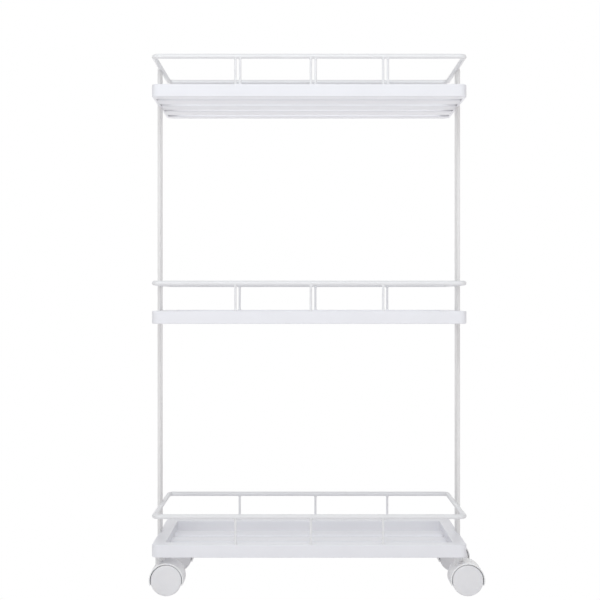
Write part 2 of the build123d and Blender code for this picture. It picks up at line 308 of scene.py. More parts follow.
def finish_tree(tree, source, given, last):
    """Close a tree: real geometry, smooth faces, the finish, and the output."""
    real = add_node(tree, "GeometryNodeRealizeInstances", {"Geometry": source})
    soft = add_node(tree, "GeometryNodeSetShadeSmooth", {"Geometry": real.outputs[0]})
    coat = add_node(
        tree,
        "GeometryNodeSetMaterial",
        {"Geometry": soft.outputs[0], "Material": given.outputs["Finish"]},
    )
    tree.links.new(coat.outputs[0], last.inputs[0])


def grow(piece, tree, values):
    """Run a tree on a piece, with its inputs set by their identifiers, and keep the mesh."""
    step = piece.modifiers.new(tree.name, "NODES")
    step.node_group = tree
    for item in tree.interface.items_tree:
        if item.in_out == "INPUT" and item.name in values:
            step[item.identifier] = values[item.name]
    apply_modifiers(piece)


slat_tree, given, last = geometry_tree(
    "slats_in_a_row",
    {"Slats": "Int", "Slat pitch": "Float", "Tray base": "Float", "Finish": "Material"},
)
gaps = add_node(slat_tree, "ShaderNodeMath", {0: given.outputs["Slats"]}, {1: 1.0}, operation="SUBTRACT")
span = add_node(
    slat_tree,
    "ShaderNodeMath",
    {0: gaps.outputs[0], 1: given.outputs["Slat pitch"]},
    operation="MULTIPLY",
)
first = add_node(slat_tree, "ShaderNodeMath", {0: span.outputs[0]}, {1: -0.5}, operation="MULTIPLY")
start = add_node(
    slat_tree, "ShaderNodeCombineXYZ", {"Y": first.outputs[0], "Z": given.outputs["Tray base"]}
)
pitch = add_node(slat_tree, "ShaderNodeCombineXYZ", {"Y": given.outputs["Slat pitch"]})
places = add_node(
    slat_tree,
    "GeometryNodeMeshLine",
    {
        "Count": given.outputs["Slats"],
        "Start Location": start.outputs[0],
        "Offset": pitch.outputs[0],
    },
)
row = add_node(
    slat_tree,
    "GeometryNodeInstanceOnPoints",
    {"Points": places.outputs[0], "Instance": given.outputs["Geometry"]},
)
finish_tree(slat_tree, row.outputs[0], given, last)


def tube_section(half_width, height, drop, wall):
    """Section of a flat tube, drawn in by the wall, as points across and up."""
    half_height = (height - drop) / 2
    outline = rounded_outline(half_width - wall, half_height - wall, SLAT_EDGE - wall, 5)
    return [(across, half_height + up) for across, up in outline]


for tier in TIERS:
    low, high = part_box(f"{tier}_middle_slat")
    front_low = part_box(f"{tier}_front_slat")[0]
    half_width = high[1]
    height = high[2] - low[2]
    stations = (
        (low[0], SLAT_TONGUE_DROP),
        (-SLAT_TONGUE_START, SLAT_TONGUE_DROP),
        (-SLAT_TONGUE_START + SLAT_TONGUE_TAPER, 0.0),
        (SLAT_TONGUE_START - SLAT_TONGUE_TAPER, 0.0),
        (SLAT_TONGUE_START, SLAT_TONGUE_DROP),
        (high[0], SLAT_TONGUE_DROP),
    )
    rings = []
    for wall, order in ((0.0, 1), (SLAT_WALL, -1)):
        for x, drop in stations[::order]:
            section = tube_section(half_width, height, drop, wall)
            rings.append([(x, y, z) for y, z in section])
    shape = bmesh.new()
    loft(shape, rings, closed=True)
    slats = to_object(shape, f"{tier}_slats", tray_coat)
    grow(
        slats,
        slat_tree,
        {
            "Slats": 3,
            "Slat pitch": low[1] - front_low[1],
            "Tray base": low[2],
            "Finish": tray_coat,
        },
    )
    smooth(slats)
    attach(slats, "cart")
    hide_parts(f"{tier}_front_slat", f"{tier}_middle_slat", f"{tier}_rear_slat")

# --- guard rails ----------------------------------------------------------------------------
# One loop of 6 mm round wire above each tray, bent at four corners and butt-welded behind. The
# dressed weld still shows as a low ring under the coat.

RAIL_RADIUS = 0.003
RAIL_BEND = 0.007
RAIL_WELD_PLACE = 0.052
RAIL_WELD_SHAPE = (0.45, 1.07, 1.07)
RAIL_SIDES = 28

wire_coat = powder_coat("wire_coat_white", (0.86, 0.86, 0.875), 0.4, 0.4)

rail_tree, given, last = geometry_tree(
    "bent_wire_loop",
    {
        "Loop length": "Float",
        "Loop depth": "Float",
        "Loop height": "Float",
        "Bend radius": "Float",
        "Wire radius": "Float",
        "Weld place": "Float",
        "Finish": "Material",
    },
)
flat_loop = add_node(
    rail_tree,
    "GeometryNodeCurvePrimitiveQuadrilateral",
    {"Width": given.outputs["Loop length"], "Height": given.outputs["Loop depth"]},
)
bent = add_node(
    rail_tree,
    "GeometryNodeFilletCurve",
    {"Curve": flat_loop.outputs[0], "Radius": given.outputs["Bend radius"]},
    {"Count": 10},
    mode="POLY",
)
lift = add_node(rail_tree, "ShaderNodeCombineXYZ", {"Z": given.outputs["Loop height"]})
raised = add_node(
    rail_tree,
    "GeometryNodeTransform",
    {"Geometry": bent.outputs[0], "Translation": lift.outputs[0]},
)
section = add_node(
    rail_tree,
    "GeometryNodeCurvePrimitiveCircle",
    {"Radius": given.outputs["Wire radius"]},
    {"Resolution": RAIL_SIDES},
)
wire = add_node(
    rail_tree,
    "GeometryNodeCurveToMesh",
    {"Curve": raised.outputs[0], "Profile Curve": section.outputs[0]},
)
ball = add_node(
    rail_tree,
    "GeometryNodeMeshUVSphere",
    {"Radius": given.outputs["Wire radius"]},
    {"Segments": RAIL_SIDES, "Rings": RAIL_SIDES // 2},
)
half_depth = add_node(
    rail_tree, "ShaderNodeMath", {0: given.outputs["Loop depth"]}, {1: 0.5}, operation="MULTIPLY"
)
weld_at = add_node(
    rail_tree,
    "ShaderNodeCombineXYZ",
    {
        "X": given.outputs["Weld place"],
        "Y": half_depth.outputs[0],
        "Z": given.outputs["Loop height"],
    },
)
weld = add_node(
    rail_tree,
    "GeometryNodeTransform",
    {"Geometry": ball.outputs[0], "Translation": weld_at.outputs[0]},
    {"Scale": RAIL_WELD_SHAPE},
)
both = add_node(rail_tree, "GeometryNodeJoinGeometry")
rail_tree.links.new(wire.outputs[0], both.inputs[0])
rail_tree.links.new(weld.outputs[0], both.inputs[0])
finish_tree(rail_tree, both.outputs[0], given, last)

rail_levels = {}
for tier in TIERS:
    low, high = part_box(f"{tier}_guard_rail")
    rail_levels[tier] = high[2] - RAIL_RADIUS
    rail = to_object(bmesh.new(), f"{tier}_guard_rail_coated")
    grow(
        rail,
        rail_tree,
        {
            "Loop length": high[0] - low[0] - 2 * RAIL_RADIUS,
            "Loop depth": high[1] - low[1] - 2 * RAIL_RADIUS,
            "Loop height": rail_levels[tier],
            "Bend radius": RAIL_BEND,
            "Wire radius": RAIL_RADIUS,
            "Weld place": RAIL_WELD_PLACE,
            "Finish": wire_coat,
        },
    )
    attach(rail, "cart")
    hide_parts(f"{tier}_guard_rail")

# --- posts ----------------------------------------------------------------------------------
# Short 3 mm wires that carry each rail, three in a row in front and behind, and in pairs along
# the front of the top tray. Both ends flare out in a small welded fillet.

POST_RADIUS = 0.0015
POST_FLARE = 0.5
POST_WELD = 0.0015
POST_BITE = 0.0012
POST_PLACES = {
    "front": (-0.0925, 0.002, 0.0925),
    "rear": (-0.096, 0.010, 0.1105),
    "twin": (-0.0865, 0.008, 0.0985),
}

post_tree, given, last = geometry_tree(
    "welded_posts",
    {
        "Post height": "Float",
        "Post radius": "Float",
        "Weld flare": "Float",
        "Weld height": "Float",
        "Bite": "Float",
        "Finish": "Material",
    },
)
whole = add_node(
    post_tree,
    "ShaderNodeMath",
    {0: given.outputs["Post height"], 1: given.outputs["Bite"]},
    operation="ADD",
)
top_end = add_node(post_tree, "ShaderNodeCombineXYZ", {"Z": whole.outputs[0]})
stalk = add_node(post_tree, "GeometryNodeCurvePrimitiveLine", {"End": top_end.outputs[0]})
rings = add_node(
    post_tree, "GeometryNodeResampleCurve", {"Curve": stalk.outputs[0]}, {"Count": 36}
)
along = add_node(post_tree, "GeometryNodeSplineParameter")
turn = add_node(
    post_tree, "ShaderNodeMath", {0: along.outputs["Factor"]}, {1: math.pi}, operation="MULTIPLY"
)
wave = add_node(post_tree, "ShaderNodeMath", {0: turn.outputs[0]}, operation="COSINE")
height_along = add_node(
    post_tree,
    "ShaderNodeMapRange",
    {"Value": wave.outputs[0], "To Max": whole.outputs[0]},
    {"From Min": 1.0, "From Max": -1.0},
)
crowded = add_node(post_tree, "ShaderNodeCombineXYZ", {"Z": height_along.outputs[0]})
spaced = add_node(
    post_tree,
    "GeometryNodeSetPosition",
    {"Geometry": rings.outputs[0], "Position": crowded.outputs[0]},
)
here = add_node(post_tree, "GeometryNodeInputPosition")
up = add_node(post_tree, "ShaderNodeSeparateXYZ", {0: here.outputs[0]})
foot_flare = add_node(
    post_tree,
    "ShaderNodeMapRange",
    {
        "Value": up.outputs["Z"],
        "From Max": given.outputs["Weld height"],
        "To Min": given.outputs["Weld flare"],
    },
    {"From Min": 0.0, "To Max": 0.0},
    interpolation_type="SMOOTHERSTEP",
)
head_start = add_node(
    post_tree,
    "ShaderNodeMath",
    {0: given.outputs["Post height"], 1: given.outputs["Weld height"]},
    operation="SUBTRACT",
)
head_flare = add_node(
    post_tree,
    "ShaderNodeMapRange",
    {
        "Value": up.outputs["Z"],
        "From Min": head_start.outputs[0],
        "From Max": given.outputs["Post height"],
        "To Max": given.outputs["Weld flare"],
    },
    {"To Min": 0.0},
    interpolation_type="SMOOTHERSTEP",
)
flares = add_node(
    post_tree,
    "ShaderNodeMath",
    {0: foot_flare.outputs[0], 1: head_flare.outputs[0]},
    operation="ADD",
)
thickness = add_node(post_tree, "ShaderNodeMath", {0: flares.outputs[0]}, {1: 1.0}, operation="ADD")
section = add_node(
    post_tree,
    "GeometryNodeCurvePrimitiveCircle",
    {"Radius": given.outputs["Post radius"]},
    {"Resolution": 20},
)
post = add_node(
    post_tree,
    "GeometryNodeCurveToMesh",
    {
        "Curve": spaced.outputs[0],
        "Profile Curve": section.outputs[0],
        "Scale": thickness.outputs[0],
    },
    {"Fill Caps": True},
)
row = add_node(
    post_tree,
    "GeometryNodeInstanceOnPoints",
    {"Points": given.outputs["Geometry"], "Instance": post.outputs[0]},
)
finish_tree(post_tree, row.outputs[0], given, last)

for tier in TIERS:
    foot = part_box(f"{tier}_tray_frame")[1][2]
    for row_name in ("front", "rear"):
        low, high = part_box(f"{tier}_{row_name}_posts")
        line = (low[1] + high[1]) / 2
        places = list(POST_PLACES[row_name])
        if tier == "top" and row_name == "front":
            places += POST_PLACES["twin"]
        feet = bmesh.new()
        for x in places:
            feet.verts.new((x, line, foot))
        posts = to_object(feet, f"{tier}_{row_name}_posts_welded")
        grow(
            posts,
            post_tree,
            {
                "Post height": rail_levels[tier] - RAIL_RADIUS - foot,
                "Post radius": POST_RADIUS,
                "Weld flare": POST_FLARE,
                "Weld height": POST_WELD,
                "Bite": POST_BITE,
                "Finish": wire_coat,
            },
        )
        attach(posts, "cart")
        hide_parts(f"{tier}_{row_name}_posts")

# --- uprights -------------------------------------------------------------------------------
# Two flat steel bars, 28 by 4 mm, with broken edges, rounded ends and six countersunk holes.
# They are powder coated and screwed into the seats of the tray ends.

BAR_EDGE = 0.0007
BAR_CORNER = 0.003
SCREW_HALF_SPACING = 0.008
COUNTERSINK_RADIUS = 0.0039
SCREW_HOLE_RADIUS = 0.0022
HOLE_DEPTH = 0.005
HOLE_MARGIN = 0.001

bar_coat = powder_coat("bar_coat_white", (0.84, 0.83, 0.825), 0.44, 0.5)


def revolve(shape, profile, origin, axis, steps):
    """Closed turned shape: (distance along the axis, radius) pairs from pole to pole."""
    frame_turn = Vector((0, 0, 1)).rotation_difference(Vector(axis)).to_matrix().to_4x4()
    place = Matrix.Translation(origin) @ frame_turn
    rows = []
    for along, radius in profile:
        if radius < 1e-9:
            rows.append([shape.verts.new(place @ Vector((0, 0, along)))])
            continue
        ring = []
        for step in range(steps):
            angle = 2 * math.pi * step / steps
            ring.append(
                shape.verts.new(
                    place @ Vector((radius * math.cos(angle), radius * math.sin(angle), along))
                )
            )
        rows.append(ring)
    for low, high in zip(rows, rows[1:]):
        for i in range(steps):
            j = (i + 1) % steps
            if len(low) == 1 and len(high) > 1:
                shape.faces.new((low[0], high[j], high[i]))
            elif len(high) == 1 and len(low) > 1:
                shape.faces.new((low[i], low[j], high[0]))
            elif len(low) > 1:
                shape.faces.new((low[i], low[j], high[j], high[i]))


screw_levels = {}
for tier in TIERS:
    low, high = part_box(f"{tier}_screws")
    screw_levels[tier] = (low[2] + high[2]) / 2

for end, side in SIDES.items():
    low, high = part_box(f"{end}_upright")
    middle = (low[2] + high[2]) / 2
    half_height = (high[2] - low[2]) / 2
    inner, outer = (high[0], low[0]) if side < 0 else (low[0], high[0])
    levels = [(inset, inner + side * drop) for inset, drop in reversed(rounded_edge(BAR_EDGE))]
    levels += [(inset, outer - side * drop) for inset, drop in rounded_edge(BAR_EDGE)]
    rings = []
    for inset, x in levels:
        outline = rounded_outline(high[1] - inset, half_height - inset, BAR_CORNER - inset)
        rings.append([(x, across, middle + up) for across, up in outline])
    shape = bmesh.new()
    loft(shape, rings, closed=False)
    bar = to_object(shape, f"{end}_upright_coated", bar_coat)
    holes = bmesh.new()
    for tier in TIERS:
        for row in (-1, 1):
            origin = (outer, row * SCREW_HALF_SPACING, screw_levels[tier])
            depth = COUNTERSINK_RADIUS - SCREW_HOLE_RADIUS
            revolve(
                holes,
                [
                    (HOLE_MARGIN, 0.0),
                    (HOLE_MARGIN, COUNTERSINK_RADIUS),
                    (0.0, COUNTERSINK_RADIUS),
                    (-depth, SCREW_HOLE_RADIUS),
                    (-HOLE_DEPTH, SCREW_HOLE_RADIUS),
                    (-HOLE_DEPTH, 0.0),
                ],
                origin,
                (side, 0, 0),
                32,
            )
    cut(bar, to_object(holes, "holes"))
    smooth(bar)
    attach(bar, "cart")
    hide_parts(f"{end}_upright")

# --- weld beads -----------------------------------------------------------------------------
# Short runs of weld, coated over with the rest: below each rail where it crosses an upright, on
# the two lower trays above it too, and at both corners of every slat end. A run is a row of
# small overlapping puddles.

BEAD_RADIUS = 0.0011
BEAD_PITCH = 0.0008
BEAD_SINK = 0.0002
BEAD_SEED = 11
RAIL_BEAD = (0.004, 0.0105)
SLAT_BEAD = (0.0025, 0.007)

bead_tree, given, last = geometry_tree(
    "weld_runs",
    {"Puddle radius": "Float", "Puddle pitch": "Float", "Seed": "Int", "Finish": "Material"},
)
runs = add_node(bead_tree, "GeometryNodeMeshToCurve", {"Mesh": given.outputs["Geometry"]})
steps = add_node(
    bead_tree,
    "GeometryNodeResampleCurve",
    {"Curve": runs.outputs[0], "Length": given.outputs["Puddle pitch"]},
    mode="LENGTH",
)
puddle = add_node(
    bead_tree,
    "GeometryNodeMeshIcoSphere",
    {"Radius": given.outputs["Puddle radius"]},
    {"Subdivisions": 3},
)
uneven = add_node(
    bead_tree,
    "FunctionNodeRandomValue",
    {"Seed": given.outputs["Seed"]},
    {"Min": (0.8, 0.8, 0.8), "Max": (1.15, 1.15, 1.15)},
    data_type="FLOAT_VECTOR",
)
puddles = add_node(
    bead_tree,
    "GeometryNodeInstanceOnPoints",
    {
        "Points": steps.outputs[0],
        "Instance": puddle.outputs[0],
        "Scale": uneven.outputs[0],
    },
)
finish_tree(bead_tree, puddles.outputs[0], given, last)

for number, tier in enumerate(TIERS):
    lines = bmesh.new()
    for end, side in SIDES.items():
        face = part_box(f"{end}_upright")[1 if side < 0 else 0][0]
        for over in (-1,) if tier == "top" else (-1, 1):
            for row in (-1, 1):
                level = rail_levels[tier] + over * (RAIL_RADIUS - BEAD_SINK)
                ends = [(face, row * y, level) for y in RAIL_BEAD]
                lines.edges.new([lines.verts.new(point) for point in ends])
        for place in ("front", "middle", "rear"):
            low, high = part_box(f"{tier}_{place}_slat")
            near, far = SLAT_BEAD
            for run in ((low[1] + near, low[1] + far), (high[1] - far, high[1] - near)):
                ends = [(side * TRAY_INSIDE_X, y, high[2] - BEAD_SINK) for y in run]
                lines.edges.new([lines.verts.new(point) for point in ends])
    beads = to_object(lines, f"{tier}_weld_beads")
    grow(
        beads,
        bead_tree,
        {
            "Puddle radius": BEAD_RADIUS,
            "Puddle pitch": BEAD_PITCH,
            "Seed": BEAD_SEED + number,
            "Finish": wire_coat,
        },
    )
    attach(beads, "cart")

# --- screws, weld nuts and caster nuts ------------------------------------------------------
# Countersunk M4 socket screws of zinc-plated steel, two through each upright into each tray,
# with hexagon nuts welded inside the tube ends. Square nuts in the bottom tray take the stems.

SCREW_HEAD_RADIUS = 0.0038
SCREW_SHANK_RADIUS = 0.002
SCREW_LENGTH = 0.009
SOCKET_APOTHEM = 0.00125
SOCKET_DEPTH = 0.0015
SOCKET_BREAK = 0.0001
HEAD_BREAK = 0.00015
TIP_BREAK = 0.0003
SCREW_SIDES = 36


def plated_steel(title, colour, roughness):
    """Zinc plating: a cloudy grey with fine turned lines."""
    material = bpy.data.materials.new(title)
    material.use_nodes = True
    nodes = material.node_tree.nodes
    links = material.node_tree.links
    shader = nodes["Principled BSDF"]
    shader.inputs["Metallic"].default_value = 1.0
    place = nodes.new("ShaderNodeTexCoord")
    cloud = nodes.new("ShaderNodeTexNoise")
    cloud.inputs["Scale"].default_value = 400.0
    cloud.inputs["Detail"].default_value = 5.0
    links.new(place.outputs["Object"], cloud.inputs["Vector"])
    tint = nodes.new("ShaderNodeValToRGB")
    tint.color_ramp.elements[0].position = 0.35
    tint.color_ramp.elements[0].color = [*(0.82 * part for part in colour), 1.0]
    tint.color_ramp.elements[1].position = 0.7
    tint.color_ramp.elements[1].color = [*colour, 1.0]
    links.new(cloud.outputs["Fac"], tint.inputs["Fac"])
    links.new(tint.outputs["Color"], shader.inputs["Base Color"])
    gloss = nodes.new("ShaderNodeMapRange")
    gloss.inputs["To Min"].default_value = roughness - 0.08
    gloss.inputs["To Max"].default_value = roughness + 0.12
    links.new(cloud.outputs["Fac"], gloss.inputs["Value"])
    links.new(gloss.outputs["Result"], shader.inputs["Roughness"])
    grain = nodes.new("ShaderNodeTexNoise")
    grain.inputs["Scale"].default_value = 2600.0
    links.new(place.outputs["Object"], grain.inputs["Vector"])
    bump = nodes.new("ShaderNodeBump")
    bump.inputs["Strength"].default_value = 0.35
    bump.inputs["Distance"].default_value = 0.00002
    links.new(grain.outputs["Fac"], bump.inputs["Height"])
    links.new(bump.outputs["Normal"], shader.inputs["Normal"])
    return material


screw_plate = plated_steel("screw_plate_bright", (0.74, 0.75, 0.78), 0.28)
nut_plate = plated_steel("nut_plate_dull", (0.58, 0.59, 0.61), 0.4)


def hexagon_ring(apothem, level, steps):
    """Hexagon with the given number of points on it."""
    ring = []
    for step in range(steps):
        angle = 2 * math.pi * step / steps
        lean = (angle + math.pi / 6) % (math.pi / 3) - math.pi / 6
        reach = apothem / math.cos(lean)
        ring.append((reach * math.cos(angle), reach * math.sin(angle), level))
    return ring


def round_ring(radius, level, steps):
    """Circle with the given number of points on it."""
    turns = [2 * math.pi * step / steps for step in range(steps)]
    return [(radius * math.cos(turn), radius * math.sin(turn), level) for turn in turns]


screw_tree, given, last = geometry_tree(
    "screws_through_the_uprights",
    {
        "Head to head": "Float",
        "Screw spacing": "Float",
        "Screw level": "Float",
        "Finish": "Material",
    },
)
corners = add_node(
    screw_tree,
    "GeometryNodeMeshGrid",
    {"Size X": given.outputs["Head to head"], "Size Y": given.outputs["Screw spacing"]},
    {"Vertices X": 2, "Vertices Y": 2},
)
lift = add_node(screw_tree, "ShaderNodeCombineXYZ", {"Z": given.outputs["Screw level"]})
raised = add_node(
    screw_tree,
    "GeometryNodeTransform",
    {"Geometry": corners.outputs[0], "Translation": lift.outputs[0]},
)
here = add_node(screw_tree, "GeometryNodeInputPosition")
parts = add_node(screw_tree, "ShaderNodeSeparateXYZ", {0: here.outputs[0]})
which_end = add_node(screw_tree, "ShaderNodeMath", {0: parts.outputs["X"]}, operation="SIGN")
quarter = add_node(
    screw_tree, "ShaderNodeMath", {0: which_end.outputs[0]}, {1: math.pi / 2}, operation="MULTIPLY"
)
tilt = add_node(
    screw_tree, "ShaderNodeCombineXYZ", {"Y": quarter.outputs[0], "X": parts.outputs["Y"]}
)
facing = add_node(screw_tree, "FunctionNodeEulerToRotation", {0: tilt.outputs[0]})
driven = add_node(
    screw_tree,
    "GeometryNodeInstanceOnPoints",
    {
        "Points": raised.outputs[0],
        "Instance": given.outputs["Geometry"],
        "Rotation": facing.outputs[0],
    },
)
finish_tree(screw_tree, driven.outputs[0], given, last)

for tier in TIERS:
    low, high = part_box(f"{tier}_screws")
    head_depth = SCREW_HEAD_RADIUS - SCREW_SHANK_RADIUS + SOCKET_BREAK
    shape = bmesh.new()
    loft(
        shape,
        [
            hexagon_ring(SOCKET_APOTHEM, -SOCKET_DEPTH, SCREW_SIDES),
            hexagon_ring(SOCKET_APOTHEM, -SOCKET_BREAK, SCREW_SIDES),
            hexagon_ring(SOCKET_APOTHEM + SOCKET_BREAK, 0.0, SCREW_SIDES),
            round_ring(SCREW_HEAD_RADIUS - HEAD_BREAK, 0.0, SCREW_SIDES),
            round_ring(SCREW_HEAD_RADIUS, -HEAD_BREAK, SCREW_SIDES),
            round_ring(SCREW_SHANK_RADIUS, -head_depth, SCREW_SIDES),
            round_ring(SCREW_SHANK_RADIUS, TIP_BREAK - SCREW_LENGTH, SCREW_SIDES),
            round_ring(SCREW_SHANK_RADIUS - TIP_BREAK, -SCREW_LENGTH, SCREW_SIDES),
        ],
        closed=False,
    )
    screws = to_object(shape, f"{tier}_screws_plated", screw_plate)
    grow(
        screws,
        screw_tree,
        {
            "Head to head": high[0] - low[0],
            "Screw spacing": 2 * SCREW_HALF_SPACING,
            "Screw level": screw_levels[tier],
            "Finish": screw_plate,
        },
    )
    smooth(screws)
    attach(screws, "cart")
    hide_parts(f"{tier}_screws")


def dress(node, material):
    """Give a node that keeps its own mesh its finish."""
    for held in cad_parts[node].material_slots:
        held.material = material


for tier in TIERS:
    dress(f"{tier}_weld_nuts", nut_plate)
dress("caster_nuts", nut_plate)

# --- caster stems and axles -----------------------------------------------------------------
# Turned steel stems with a collar, a slip washer and a spring ring that keeps the hood on, and
# a plain steel axle pressed through each hood for its two wheels.

CORNERS = ("front_left", "front_right", "rear_left", "rear_right")

for corner in CORNERS:
    dress(f"{corner}_stem", screw_plate)
    dress(f"{corner}_washer", nut_plate)
    dress(f"{corner}_stem_ring", nut_plate)
    dress(f"{corner}_axle", screw_plate)

# --- caster hoods ---------------------------------------------------------------------------
# One moulded piece each, of white glass-filled nylon: an arched cover over both wheels, a web
# between them that carries the axle, and the neck that turns on the stem.


def moulded_plastic(title, colour, roughness, grain_height):
    """Moulded white plastic: a fine spark-eroded grain and slow flow marks."""
    material = bpy.data.materials.new(title)
    material.use_nodes = True
    nodes = material.node_tree.nodes
    links = material.node_tree.links
    shader = nodes["Principled BSDF"]
    shader.inputs["IOR"].default_value = 1.53
    shader.inputs["Subsurface Weight"].default_value = 0.06
    shader.inputs["Subsurface Radius"].default_value = (0.0012, 0.0011, 0.001)
    place = nodes.new("ShaderNodeTexCoord")
    flow = nodes.new("ShaderNodeTexNoise")
    flow.inputs["Scale"].default_value = 60.0
    flow.inputs["Detail"].default_value = 2.0
    flow.inputs["Distortion"].default_value = 0.6
    links.new(place.outputs["Object"], flow.inputs["Vector"])
    tint = nodes.new("ShaderNodeValToRGB")
    tint.color_ramp.elements[0].position = 0.3
    tint.color_ramp.elements[0].color = [*(0.965 * part for part in colour), 1.0]
    tint.color_ramp.elements[1].position = 0.75
    tint.color_ramp.elements[1].color = [*colour, 1.0]
    links.new(flow.outputs["Fac"], tint.inputs["Fac"])
    links.new(tint.outputs["Color"], shader.inputs["Base Color"])
    gloss = nodes.new("ShaderNodeMapRange")
    gloss.inputs["To Min"].default_value = roughness - 0.05
    gloss.inputs["To Max"].default_value = roughness + 0.07
    links.new(flow.outputs["Fac"], gloss.inputs["Value"])
    links.new(gloss.outputs["Result"], shader.inputs["Roughness"])
    grain = nodes.new("ShaderNodeTexNoise")
    grain.inputs["Scale"].default_value = 2200.0
    grain.inputs["Detail"].default_value = 3.0
    links.new(place.outputs["Object"], grain.inputs["Vector"])
    bump = nodes.new("ShaderNodeBump")
    bump.inputs["Strength"].default_value = 0.4
    bump.inputs["Distance"].default_value = grain_height
    links.new(grain.outputs["Fac"], bump.inputs["Height"])
    links.new(bump.outputs["Normal"], shader.inputs["Normal"])
    return material


hood_plastic = moulded_plastic("hood_nylon_white", (0.96, 0.96, 0.965), 0.38, 0.00003)

HOOD_INNER_RADIUS = 0.0202
HOOD_WALL = 0.0014
HOOD_RIM = 0.0006
HOOD_SKIRT = 0.0063
HOOD_STEPS = 72
WEB_HALF_WIDTH = 0.0065
BOSS_RADIUS = 0.0075
NECK_RADIUS = 0.0055
PIN_BORE = 0.00355
AXLE_BORE = 0.002
AXLE_BORE_HALF = 0.02
HOOD_EDGE_SLACK = 0.00005
NECK_BREAK = 0.0004
PIN_CLEARANCE = 0.0003
RING_GROOVE = 0.00085
MOUTH_DROP = 0.0001
MOUTH_MARGIN = 0.001
WEB_STEPS = 48
BOSS_STEPS = 12


def arch_point(radius, across, turn, skirt):
    """Point of the arch: turn runs from 0 at one skirt, over the top, to 1 at the other."""
    below = math.asin(skirt / radius)
    angle = -below + turn * (math.pi + 2 * below)
    return (radius * math.cos(angle), across, radius * math.sin(angle))


def moved(points, by):
    """The same points, shifted."""
    return [tuple(part + shift for part, shift in zip(point, by)) for point in points]


def join(piece, other):
    """Melt one closed shape into another."""
    step = piece.modifiers.new("join", "BOOLEAN")
    step.operation = "UNION"
    step.solver = "EXACT"
    step.object = other
    apply_modifiers(piece)
    bpy.data.objects.remove(other)


for corner in CORNERS:
    low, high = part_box(f"{corner}_hood")
    wheel_low, wheel_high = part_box(f"{corner}_outer_wheel")
    stem_low, stem_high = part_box(f"{corner}_stem")
    stem = ((stem_low[0] + stem_high[0]) / 2, (stem_low[1] + stem_high[1]) / 2)
    centre = ((wheel_low[0] + wheel_high[0]) / 2, stem[1], (wheel_low[2] + wheel_high[2]) / 2)
    half_width = (high[1] - low[1]) / 2

    middle = HOOD_INNER_RADIUS + HOOD_WALL / 2
    rounding = rounded_edge(HOOD_RIM)
    stations = [(inset, drop, 0) for inset, drop in reversed(rounding)]
    stations += [(0.0, HOOD_RIM, step / HOOD_STEPS) for step in range(1, HOOD_STEPS)]
    stations += [(inset, drop, 1) for inset, drop in rounding]
    rings = []
    for inset, drop, turn in stations:
        section = rounded_outline(
            HOOD_WALL / 2 - inset, half_width - inset, HOOD_RIM + HOOD_EDGE_SLACK - inset, 5
        )
        ring = [
            arch_point(middle + out, across, turn, HOOD_SKIRT - drop) for out, across in section
        ]
        rings.append(moved(ring, centre))
    shape = bmesh.new()
    loft(shape, rings, closed=False)
    hood = to_object(shape, f"{corner}_hood_moulded", hood_plastic)

    turns = [step / WEB_STEPS for step in range(WEB_STEPS + 1)]
    outline = [arch_point(middle, 0.0, turn, HOOD_SKIRT) for turn in turns]
    boss_half = math.acos(HOOD_SKIRT / BOSS_RADIUS)
    for step in range(BOSS_STEPS + 1):
        angle = -math.pi / 2 - boss_half + 2 * boss_half * step / BOSS_STEPS
        outline.append((BOSS_RADIUS * math.cos(angle), 0.0, BOSS_RADIUS * math.sin(angle)))
    shape = bmesh.new()
    faces = [(centre[0], centre[1] + side * WEB_HALF_WIDTH, centre[2]) for side in (-1, 1)]
    loft(shape, [moved(outline, face) for face in faces], closed=False)
    join(hood, to_object(shape, "web"))

    neck_top = high[2] - centre[2]
    neck = [
        (0.0, 0.0),
        (0.0, NECK_RADIUS),
        (neck_top - NECK_BREAK, NECK_RADIUS),
        (neck_top, NECK_RADIUS - NECK_BREAK),
        (neck_top, 0.0),
    ]
    shape = bmesh.new()
    revolve(shape, neck, (*stem, centre[2]), (0, 0, 1), 48)
    join(hood, to_object(shape, "neck"))

    pin_bottom = stem_low[2] - PIN_CLEARANCE - centre[2]
    ring_low, ring_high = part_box(f"{corner}_stem_ring")
    groove_low = ring_low[2] - PIN_CLEARANCE - centre[2]
    groove_high = ring_high[2] + PIN_CLEARANCE - centre[2]
    bore = [
        (pin_bottom, 0.0),
        (pin_bottom, PIN_BORE),
        (groove_low, PIN_BORE),
        (groove_low, PIN_BORE + RING_GROOVE),
        (groove_high, PIN_BORE + RING_GROOVE),
        (groove_high, PIN_BORE),
        (neck_top - PIN_CLEARANCE, PIN_BORE),
        (neck_top + MOUTH_DROP, PIN_BORE + NECK_BREAK),
        (neck_top + MOUTH_MARGIN, PIN_BORE + NECK_BREAK),
        (neck_top + MOUTH_MARGIN, 0.0),
    ]
    shape = bmesh.new()
    revolve(shape, bore, (*stem, centre[2]), (0, 0, 1), 48)
    cut(hood, to_object(shape, "pin_bore"))
    axle = [
        (-AXLE_BORE_HALF, 0.0),
        (-AXLE_BORE_HALF, AXLE_BORE),
        (AXLE_BORE_HALF, AXLE_BORE),
        (AXLE_BORE_HALF, 0.0),
    ]
    shape = bmesh.new()
    revolve(shape, axle, centre, (0, 1, 0), 32)
    cut(hood, to_object(shape, "axle_bore"))
    smooth(hood)
    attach(hood, f"{corner}_caster")
    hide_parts(f"{corner}_hood")

# --- wheels ---------------------------------------------------------------------------------
# Moulded white wheels, snapped on the axle ends: a slightly crowned plain disc outside, a
# rounded tread, and behind the disc a hub with six ribs.

